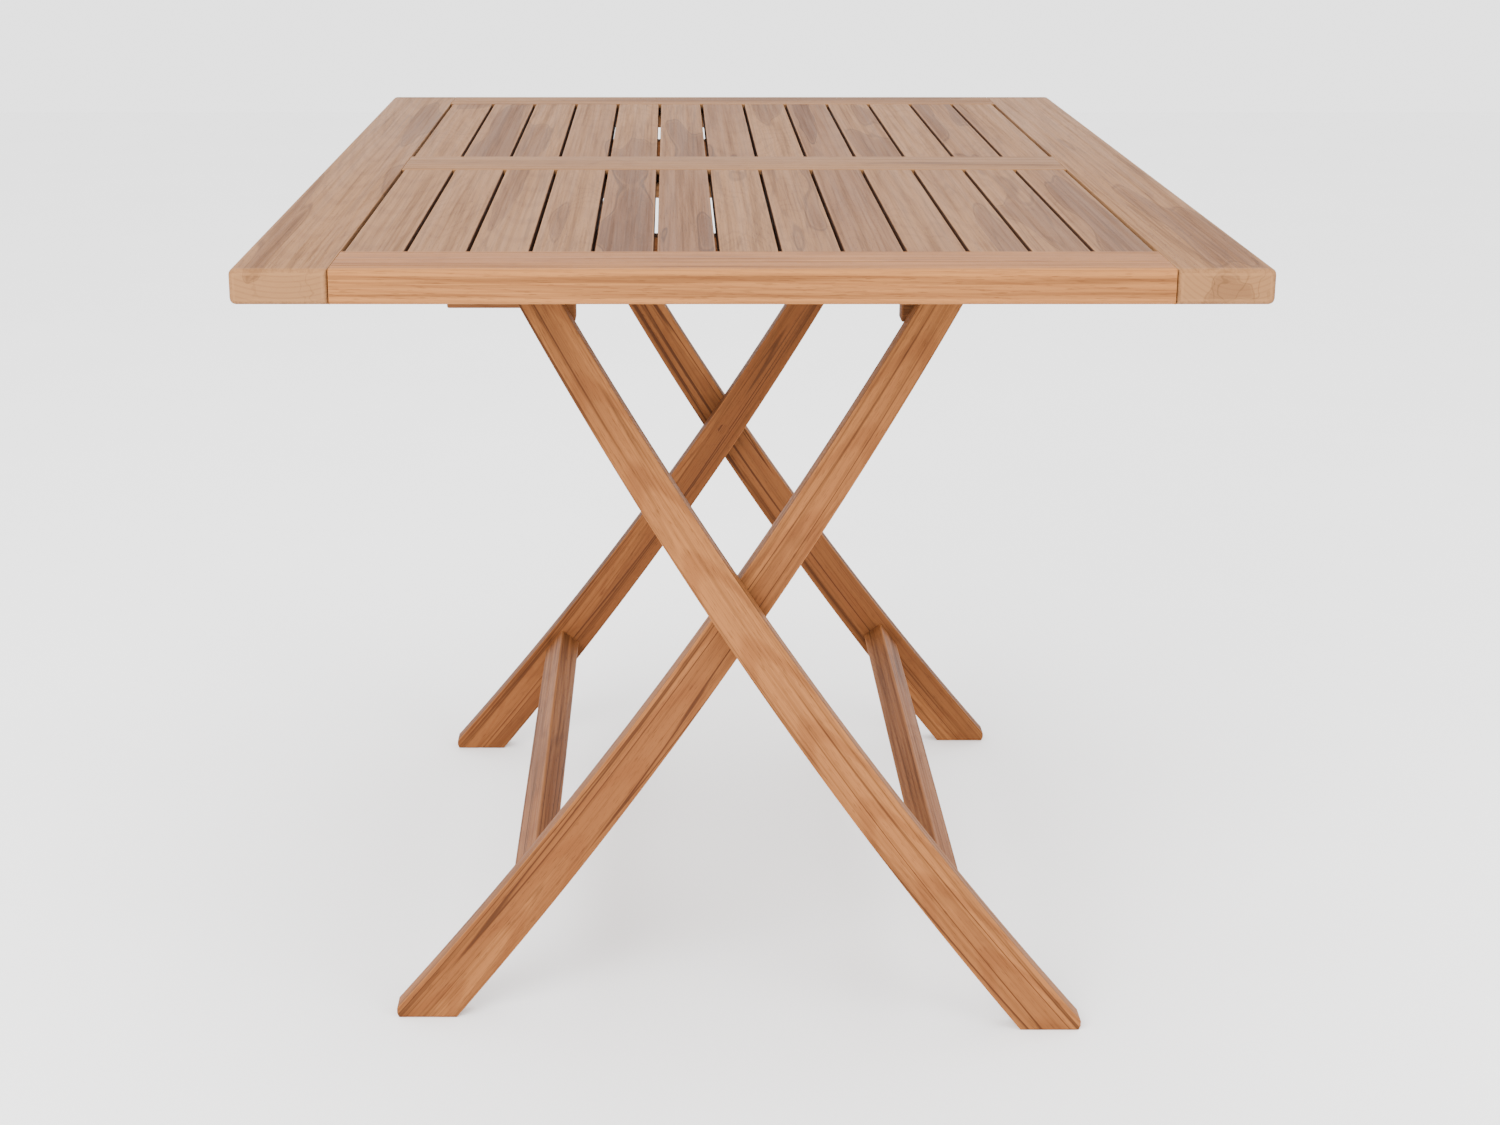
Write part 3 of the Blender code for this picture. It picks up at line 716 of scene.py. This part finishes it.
def leg_tree():
    """A bowed leg: a flat grid in arc length and width, with a round head and a level foot.

    The grid is bent to the arc and then given its thickness.
    """
    tree, given = node_tree("bowed_leg", {
        "Stations": "Int", "Columns": "Int", "Width": "Float", "Widening": "Float", "Thickness": "Float",
        "Radius": "Float", "Lean": "Float", "Crossing Height": "Float", "Head Arc": "Float",
        "Heel Arc": "Float", "Toe Arc": "Float", "Tip Arc": "Float", "Tip Slope": "Float",
        "Mirror": "Float", "Face": "Float", "Plank": "Vector", "Material": "Material"})
    grid = wire(tree, "GeometryNodeMeshGrid", {
        "Size X": 1.0, "Size Y": 1.0,
        "Vertices X": given["Stations"], "Vertices Y": given["Columns"]}).outputs[0]
    spot = split(tree, wire(tree, "GeometryNodeInputPosition").outputs[0])
    share = plus(tree, spot[0], 0.5)
    turn = times(tree, spot[1], math.pi)
    side = calc(tree, "SINE", turn)

    def half_width(arc):
        wide = plus(tree, given["Width"], times(tree, given["Widening"], arc))
        return times(tree, wide, 0.5)

    head = times(tree, given["Head Arc"], -1.0)
    start = minus(tree, head, times(tree, half_width(head), calc(tree, "COSINE", turn)))
    heel_to_toe = times(tree, plus(tree, side, 1.0), 0.5)
    sole = minus(tree, given["Toe Arc"], given["Heel Arc"])
    level = plus(tree, given["Heel Arc"], times(tree, heel_to_toe, sole))
    inset = times(tree, minus(tree, 1.0, side), half_width(given["Tip Arc"]))
    upright = plus(tree, given["Tip Arc"], times(tree, inset, given["Tip Slope"]))
    stop = calc(tree, "MINIMUM", level, upright)
    arc = plus(tree, start, times(tree, share, minus(tree, stop, start)))
    across = times(tree, side, half_width(arc))
    flat = store(tree, grid, "grain", join_xyz(tree, arc, across))

    spot = split(tree, named(tree, "grain"))
    lean = plus(tree, given["Lean"], calc(tree, "DIVIDE", spot[0], given["Radius"]))
    cosine, sine = calc(tree, "COSINE", lean), calc(tree, "SINE", lean)
    run = minus(tree, calc(tree, "COSINE", given["Lean"]), cosine)
    drop = minus(tree, sine, calc(tree, "SINE", given["Lean"]))
    x = plus(tree, times(tree, given["Radius"], run), times(tree, spot[1], cosine))
    arc_height = minus(tree, given["Crossing Height"], times(tree, given["Radius"], drop))
    z = plus(tree, arc_height, times(tree, spot[1], sine))
    half = times(tree, given["Thickness"], -0.5)
    where = join_xyz(tree, times(tree, given["Mirror"], x), half, calc(tree, "MAXIMUM", z, 0.0))
    bent = wire(tree, "GeometryNodeSetPosition", {"Geometry": flat, "Position": where}).outputs[0]
    thick = wire(tree, "GeometryNodeExtrudeMesh", {
        "Mesh": bent, "Offset": join_xyz(tree, y=given["Thickness"]), "Offset Scale": 1.0,
        "Individual": False})
    both = wire(tree, "GeometryNodeJoinGeometry")
    tree.links.new(thick.outputs[0], both.inputs[0])
    tree.links.new(wire(tree, "GeometryNodeFlipFaces", {0: bent}).outputs[0], both.inputs[0])
    solid = wire(tree, "GeometryNodeMergeByDistance",
                 {"Geometry": both.outputs[0], "Distance": 2e-5}).outputs[0]
    depth = split(tree, wire(tree, "GeometryNodeInputPosition").outputs[0])[1]
    deep = vector_sum(tree, "ADD", named(tree, "grain"), join_xyz(tree, z=depth))
    own = vector_sum(tree, "ADD", deep, given["Plank"])
    marked = store(tree, solid, "grain", own)
    placed = wire(tree, "GeometryNodeTransform",
                  {"Geometry": marked, "Translation": join_xyz(tree, y=given["Face"])}).outputs[0]
    end_tree(tree, placed, given["Material"])
    return tree


def build_legs():
    """Four legs from one tree; the inner pair is the outer pair's mirror image."""
    tree = leg_tree()
    tip = arc_to_height(1, FOOT_TIP_HEIGHT)
    plank_draw = random.Random(21)
    # Each pair is the front and the rear leg's tone: the front tones are the timber's own, and the rear
    # legs' extra darkness is painted shade for the shadow they stand in under the top, behind the front
    # legs
    for frame_name, mirror, tones in (("outer", 1.0, (0.22, 0.40)), ("inner", -1.0, (0.36, 0.62))):
        for end, tone in zip(("front", "rear"), tones):
            node = f"{frame_name}_leg_{end}"
            low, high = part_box(node)
            leg = grow(node + "_board", tree, {
                "Stations": LEG_STATIONS, "Columns": LEG_COLUMNS, "Width": LEG_WIDTH_AT_CROSSING,
                "Widening": LEG_WIDENING, "Thickness": high.y - low.y, "Radius": LEG_RADIUS,
                "Lean": CROSSING_LEAN, "Crossing Height": CROSSING_HEIGHT, "Head Arc": HINGE_ARC,
                "Heel Arc": arc_to_height(-1, 0.0), "Toe Arc": arc_to_height(1, 0.0), "Tip Arc": tip,
                "Tip Slope": 1.0 / math.tan(centreline(tip)[2]), "Mirror": mirror,
                "Face": (low.y + high.y) / 2,
                "Plank": (plank_draw.uniform(-4, 4), plank_draw.uniform(-0.01, 0.01), 0.03),
                "Material": TEAK_LEG})
            settle(leg)
            bevel = leg.modifiers.new("round_edges", "BEVEL")
            bevel.width = LEG_ROUND
            bevel.segments = 3
            bevel.limit_method = "ANGLE"
            bevel.angle_limit = math.radians(40)
            settle(leg)
            set_tone(leg, tone)
            mark_edges(leg, LEG_ROUND * 0.6)
            finish_piece(leg, TEAK_LEG, frame_name + "_frame", [node])


# ---------------------------------------------------------------- stretchers, bar, supports

def build_stretchers():
    """Rounded cross members that lean with their legs, with stub tenons inside them."""
    x, z, lean = centreline(STRETCHER_ARC)
    for frame_name, mirror, tone in (("outer", 1, 0.55), ("inner", -1, 0.50)):
        node = frame_name + "_stretcher"
        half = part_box(node)[1].y - STUB_LENGTH
        size = Vector((STRETCHER_ACROSS_LEG, 2 * half, STRETCHER_ALONG_LEG))
        centre = (mirror * x, 0, z)
        piece = rounded_box(node + "_board", -size / 2, size / 2, lambda middle: abs(middle.y) < half / 2,
                            (STRETCHER_ROUND, JOINT_ROUND), -mirror * lean, centre)
        settle(piece)
        tenon = (STRETCHER_TENON_ACROSS, 2 * (half + STUB_LENGTH), STRETCHER_TENON_ALONG)
        carve(piece, [plain_box("tenon", tenon, centre, -mirror * lean)], "UNION")
        turned_across = (math.cos(lean), 0, mirror * math.sin(lean))
        turned_along = (-mirror * math.sin(lean), 0, math.cos(lean))
        timber(piece, (Y, turned_along, turned_across), 80 + mirror, tone, TEAK_LEG,
               frame_name + "_frame", [node])


def lathe(name, profile, centre, outwards=1.0, steps=40):
    """A profile of (radius, distance) turned about an axis along Y through a point."""
    mesh = bpy.data.meshes.new(name)
    shape = bmesh.new()
    rings = []
    for radius, along in profile:
        if radius < 1e-6:
            rings.append([shape.verts.new((0, outwards * along, 0))])
            continue
        turns = [2 * math.pi * i / steps for i in range(steps)]
        rings.append([shape.verts.new((radius * math.cos(t), outwards * along, radius * math.sin(t)))
                      for t in turns])
    for first, second in zip(rings, rings[1:]):
        for i in range(steps):
            corners = [first[i % len(first)], first[(i + 1) % len(first)],
                       second[(i + 1) % len(second)], second[i % len(second)]]
            shape.faces.new(list(dict.fromkeys(corners)))
    bmesh.ops.translate(shape, vec=centre, verts=shape.verts)
    bmesh.ops.recalc_face_normals(shape, faces=shape.faces)
    shape.to_mesh(mesh)
    shape.free()
    return new_piece(name, mesh)


def arc_profile(radius, centre_radius, centre_along, start, end, steps=4):
    """Points of a rounded corner in a turned profile, from one angle to another."""
    turns = [start + (end - start) * i / steps for i in range(steps + 1)]
    return [(centre_radius + radius * math.cos(t), centre_along + radius * math.sin(t)) for t in turns]


def build_top_bar():
    """The round bar: a long dowel with softened ends and a smaller spigot let into each inner leg."""
    low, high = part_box("top_bar")
    end = high.y
    half = end - STUB_LENGTH
    one_end = [(0, end), (BAR_END_RADIUS, end), (BAR_END_RADIUS, half)]
    one_end += arc_profile(BAR_ROUND, BAR_RADIUS - BAR_ROUND, half - BAR_ROUND, QUARTER_TURN, 0)
    profile = one_end + [(radius, -along) for radius, along in reversed(one_end)]
    centre = (-HINGE.x, 0, HINGE.z)
    bar = lathe("round_top_bar", profile, centre)
    timber(bar, (Y, X, Z), 90, 0.45, TEAK_LEG, "inner_frame", ["top_bar"])


def cut_board(name, outline, low_y, high_y, rounding):
    """A board sawn to an outline in X and Z, with its edges rounded over."""
    mesh = bpy.data.meshes.new(name)
    shape = bmesh.new()
    face = shape.faces.new([shape.verts.new((x, low_y, z)) for x, z in outline])
    drawn = bmesh.ops.extrude_face_region(shape, geom=[face])
    moved = [item for item in drawn["geom"] if isinstance(item, bmesh.types.BMVert)]
    bmesh.ops.translate(shape, vec=(0, high_y - low_y, 0), verts=moved)
    bmesh.ops.recalc_face_normals(shape, faces=shape.faces)
    shape.to_mesh(mesh)
    shape.free()
    board = new_piece(name, mesh)
    bevel = board.modifiers.new("round_edges", "BEVEL")
    bevel.width = rounding
    bevel.segments = 3
    bevel.limit_method = "ANGLE"
    bevel.angle_limit = math.radians(30)
    return settle(board)


def build_battens():
    """Battens under the slats, each with the hook that the top bar drops behind."""
    for seed, end in enumerate(("front", "rear")):
        low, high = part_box("batten_" + end)
        outline = [(low.x, high.z), (high.x, high.z), (high.x, SEAT_HEIGHT), (HOOK_OUTER, SEAT_HEIGHT),
                   (HOOK_OUTER, low.z), (HOOK_INNER, low.z), (HOOK_INNER, BATTEN_BOTTOM),
                   (low.x, BATTEN_BOTTOM)]
        board = cut_board("batten_" + end + "_board", outline, low.y, high.y, SUPPORT_ROUND)
        timber(board, (X, Z, Y), 100 + seed, 0.45, TEAK_SUPPORT, "top", ["batten_" + end])


def build_hinge_blocks():
    """The blocks that carry the outer legs' bolts."""
    for seed, end in enumerate(("front", "rear")):
        low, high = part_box("hinge_block_" + end)
        outline = [(low.x, high.z), (high.x, high.z), (high.x, low.z + BLOCK_CHAMFER),
                   (high.x - BLOCK_CHAMFER, low.z), (-BLOCK_HEEL_OUTER, low.z),
                   (-BLOCK_TOE_INNER, BLOCK_TOE_BOTTOM), (low.x, BLOCK_TOE_BOTTOM)]
        board = cut_board("hinge_block_" + end + "_board", outline, low.y, high.y, SUPPORT_ROUND)
        timber(board, (X, Z, Y), 110 + seed, 0.35, TEAK_SUPPORT, "top",
               ["hinge_block_" + end])


# ---------------------------------------------------------------- hardware

def screw_tree():
    """A row of cross-headed screws: one tapered head with a cross cut in it, repeated."""
    tree, given = node_tree("screw_row", {
        "Count": "Int", "Start": "Vector", "Step": "Vector", "Turn": "Vector", "Head Radius": "Float",
        "Head Height": "Float", "Slot Width": "Float", "Sides": "Int", "Material": "Material"})
    rim = times(tree, given["Head Radius"], 0.82)
    skirt = wire(tree, "GeometryNodeMeshCone", {
        "Vertices": given["Sides"], "Side Segments": 2, "Radius Top": rim,
        "Radius Bottom": given["Head Radius"], "Depth": given["Head Height"]}).outputs[0]
    long_way = times(tree, given["Head Radius"], 1.15)
    deep = times(tree, given["Head Height"], 1.2)
    lift = join_xyz(tree, z=given["Head Height"])
    bars = []
    for size in (join_xyz(tree, long_way, given["Slot Width"], deep),
                 join_xyz(tree, given["Slot Width"], long_way, deep)):
        bar = wire(tree, "GeometryNodeMeshCube", {"Size": size}).outputs[0]
        bars.append(wire(tree, "GeometryNodeTransform", {"Geometry": bar, "Translation": lift}).outputs[0])
    cut = wire(tree, "GeometryNodeMeshBoolean", {"Mesh 1": skirt}, operation="DIFFERENCE", solver="EXACT")
    for bar in bars:
        tree.links.new(bar, cut.inputs["Mesh 2"])
    line = wire(tree, "GeometryNodeMeshLine", {
        "Count": given["Count"], "Start Location": given["Start"], "Offset": given["Step"]}).outputs[0]
    row = wire(tree, "GeometryNodeInstanceOnPoints", {
        "Points": line, "Instance": cut.outputs[0], "Rotation": given["Turn"]}).outputs[0]
    end_tree(tree, row, given["Material"])
    return tree


def build_screws():
    """Screws up through the battens and blocks into the slats, and the turn buttons' own screws."""
    tree = screw_tree()
    wood_screw = {
        "Turn": (math.pi, 0.0, 0.0), "Head Radius": BATTEN_SCREW_HEAD, "Head Height": SCREW_HEIGHT,
        "Slot Width": SCREW_SLOT, "Sides": 28, "Material": STEEL}
    for end, side in (("front", -1), ("rear", 1)):
        low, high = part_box("batten_" + end)
        row = grow(f"batten_screws_{end}", tree, {
            "Count": BATTEN_SCREWS, "Step": (SLAT_PITCH, 0.0, 0.0),
            "Start": (BATTEN_SCREW_START * SLAT_PITCH, (low.y + high.y) / 2,
                      BATTEN_BOTTOM + SCREW_HEIGHT / 2 - SCREW_PROUD), **wood_screw})
        finish_piece(settle(row), STEEL, "top", [])
        low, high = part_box("hinge_block_" + end)
        pair = grow(f"block_screws_{end}", tree, {
            "Count": 2, "Step": (BLOCK_SCREW_PITCH, 0.0, 0.0),
            "Start": (low.x + BLOCK_SCREW_INSET, (low.y + high.y) / 2,
                      BLOCK_TOE_BOTTOM + SCREW_HEIGHT / 2 - SCREW_PROUD), **wood_screw})
        finish_piece(settle(pair), STEEL, "top", [])
        low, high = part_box("button_screw_" + end)
        face = low.y if side > 0 else high.y
        single = grow(f"turn_button_screw_{end}", tree, {
            "Count": 1, "Step": (0.0, 0.0, 0.0), "Turn": (side * QUARTER_TURN, 0.0, 0.0),
            "Start": ((low.x + high.x) / 2, face + side * BUTTON_SCREW_HEIGHT / 2, (low.z + high.z) / 2),
            "Head Radius": BUTTON_SCREW_HEAD, "Head Height": BUTTON_SCREW_HEIGHT,
            "Slot Width": SCREW_SLOT, "Sides": 32, "Material": BRASS})
        finish_piece(settle(single), BRASS, "top", ["button_screw_" + end])


def build_turn_buttons():
    """Brass turn buttons: flat plates with round ends and softened edges."""
    for end in ("front", "rear"):
        low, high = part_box("turn_button_" + end)
        radius = (high.z - low.z) / 2
        middle_z = (low.z + high.z) / 2
        steps = 16
        outline = []
        for centre_x, start in ((high.x - radius, QUARTER_TURN), (low.x + radius, -QUARTER_TURN)):
            for i in range(steps + 1):
                turn = start - math.pi * i / steps
                outline.append((centre_x + radius * math.cos(turn), middle_z + radius * math.sin(turn)))
        plate = cut_board("turn_button_" + end + "_plate", outline, low.y, high.y, BUTTON_ROUND)
        finish_piece(plate, BRASS, "turn_button_" + end, ["turn_button_" + end])


def build_hinge_bolts():
    """Domed socket bolts on the battens' inner faces; the shank runs through the block into the leg."""
    for end, side in (("front", -1), ("rear", 1)):
        low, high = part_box("hinge_bolt_" + end)
        far, head = (low.y, high.y) if side < 0 else (high.y, low.y)
        length = abs(far - head) - BOLT_HEAD_HEIGHT
        dome = arc_profile(BOLT_DOME, BOLT_HEAD - BOLT_DOME, BOLT_HEAD_HEIGHT - BOLT_DOME, QUARTER_TURN, 0)
        shank = [(BOLT_SHANK, 0), (BOLT_SHANK, -length), (0, -length)]
        profile = [(0, BOLT_HEAD_HEIGHT)] + dome + [(BOLT_HEAD, 0)] + shank
        seat = (HINGE.x, head + side * BOLT_HEAD_HEIGHT, HINGE.z)
        bolt = lathe("socket_bolt_" + end, profile, seat, -side)
        mesh = bpy.data.meshes.new("socket")
        shape = bmesh.new()
        bmesh.ops.create_cone(shape, cap_ends=True, segments=6, radius1=HEX_SOCKET, radius2=HEX_SOCKET,
                              depth=HEX_SOCKET_DEPTH)
        shape.to_mesh(mesh)
        shape.free()
        socket = new_piece("socket", mesh)
        socket.location = (HINGE.x, head, HINGE.z)
        socket.rotation_euler.x = QUARTER_TURN
        carve(bolt, [socket])
        finish_piece(bolt, STEEL, "outer_frame", ["hinge_bolt_" + end])


def plug_tree():
    """Wood plugs over the pivot bolts: slightly domed discs set on points."""
    tree, given = node_tree("wood_plugs", {
        "Radius": "Float", "Depth": "Float", "Dome": "Float", "Sides": "Int", "Start": "Vector",
        "Turn": "Vector", "Plank": "Vector", "Material": "Material"})
    disc = wire(tree, "GeometryNodeMeshCylinder", {
        "Vertices": given["Sides"], "Side Segments": 1, "Fill Segments": 5, "Radius": given["Radius"],
        "Depth": given["Depth"]}, fill_type="NGON").outputs[0]
    place = split(tree, wire(tree, "GeometryNodeInputPosition").outputs[0])
    out = vector_sum(tree, "LENGTH", join_xyz(tree, place[0], place[1]))
    share = calc(tree, "DIVIDE", out, given["Radius"])
    rise = times(tree, given["Dome"], minus(tree, 1.0, times(tree, share, share)))
    upper = calc(tree, "GREATER_THAN", place[2], 0.0)
    domed = wire(tree, "GeometryNodeSetPosition", {
        "Geometry": disc, "Offset": join_xyz(tree, z=times(tree, rise, upper))}).outputs[0]
    own = vector_sum(tree, "ADD", join_xyz(tree, place[0], place[1], place[2]), given["Plank"])
    grained = store(tree, domed, "grain", own)
    points = wire(tree, "GeometryNodeMeshLine", {"Count": 1, "Start Location": given["Start"]}).outputs[0]
    row = wire(tree, "GeometryNodeInstanceOnPoints", {
        "Points": points, "Instance": grained, "Rotation": given["Turn"]}).outputs[0]
    end_tree(tree, row, given["Material"])
    return tree


def build_plugs():
    """The plugs, with their grain turned to run along the legs they close."""
    tree = plug_tree()
    for end, side in (("front", -1), ("rear", 1)):
        low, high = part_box("pivot_plug_" + end)
        depth = high.y - low.y
        plug = grow(f"pivot_plug_{end}_disc", tree, {
            "Radius": (high.x - low.x) / 2, "Depth": depth, "Dome": PLUG_DOME, "Sides": 40,
            "Start": (0.0, (low.y + high.y) / 2 - side * PLUG_LIFT, CROSSING_HEIGHT),
            "Turn": (side * QUARTER_TURN, CROSSING_LEAN - QUARTER_TURN, 0.0),
            "Plank": (1.3, 0.010, 0.030), "Material": TEAK_LEG})
        settle(plug)
        set_tone(plug, 0.60)
        mark_edges(plug, 0.0)
        finish_piece(plug, TEAK_LEG, "inner_frame", ["pivot_plug_" + end])


def build_washers():
    """Thin brass washers, rounded at the rim, between the legs and at the hinges."""
    for kind, body in (("hinge", "top"), ("pivot", "inner_frame")):
        for end in ("front", "rear"):
            node = f"{kind}_washer_{end}"
            low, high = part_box(node)
            half = (high.y - low.y) / 2
            outer = (high.x - low.x) / 2
            rim = arc_profile(half, outer - half, 0.0, QUARTER_TURN, -QUARTER_TURN)
            bore = BOLT_SHANK + WASHER_SLACK
            washer = lathe(node + "_ring", [(bore, half)] + rim + [(bore, -half), (bore, half)],
                           (low + high) / 2)
            settle(washer)
            finish_piece(washer, BRASS, body, [node])


def dress_bolts():
    """The pivot bolts keep their frame shape, hidden under the plugs."""
    for end in ("front", "rear"):
        for place in frame["nodes"]["pivot_bolt_" + end].material_slots:
            place.material = STEEL


# ---------------------------------------------------------------- studio

def build_studio():
    """A pale floor that runs out of sight, even light from all round, and three soft lamps."""
    floor = plain_box("studio_floor", (14.0, 14.0, 0.02), (0, 0, -0.0105))
    settle(floor)
    floor.data.materials.append(floor_finish())
    world = bpy.data.worlds.new("studio_air")
    world.use_nodes = True
    world.node_tree.nodes["Background"].inputs["Color"].default_value = (1.0, 1.0, 1.0, 1.0)
    world.node_tree.nodes["Background"].inputs["Strength"].default_value = AIR_STRENGTH
    bpy.context.scene.world = world
    for name, where, size, power in LAMPS:
        lamp = bpy.data.lights.new(name, "AREA")
        lamp.size = size
        lamp.energy = power
        light = new_piece(name, lamp)
        light.location = where
        light.rotation_euler = (LAMP_TARGET - Vector(where)).to_track_quat("-Z", "Y").to_euler()


def build_camera():
    lens = bpy.data.cameras.new("camera")
    lens.lens = 59.8
    lens.sensor_width = 36.0
    lens.shift_x = 0.054
    camera = new_piece("camera", lens)
    camera.location = CAMERA_PLACE
    camera.rotation_euler = (QUARTER_TURN - CAMERA_PITCH, 0.0, 0.0)
    bpy.context.scene.camera = camera


build_camera()
build_studio()
build_side_rails()
build_cross_rails()
build_slats()
build_battens()
build_hinge_blocks()
build_legs()
build_stretchers()
build_top_bar()
build_screws()
build_turn_buttons()
build_hinge_bolts()
build_plugs()
build_washers()
dress_bolts()
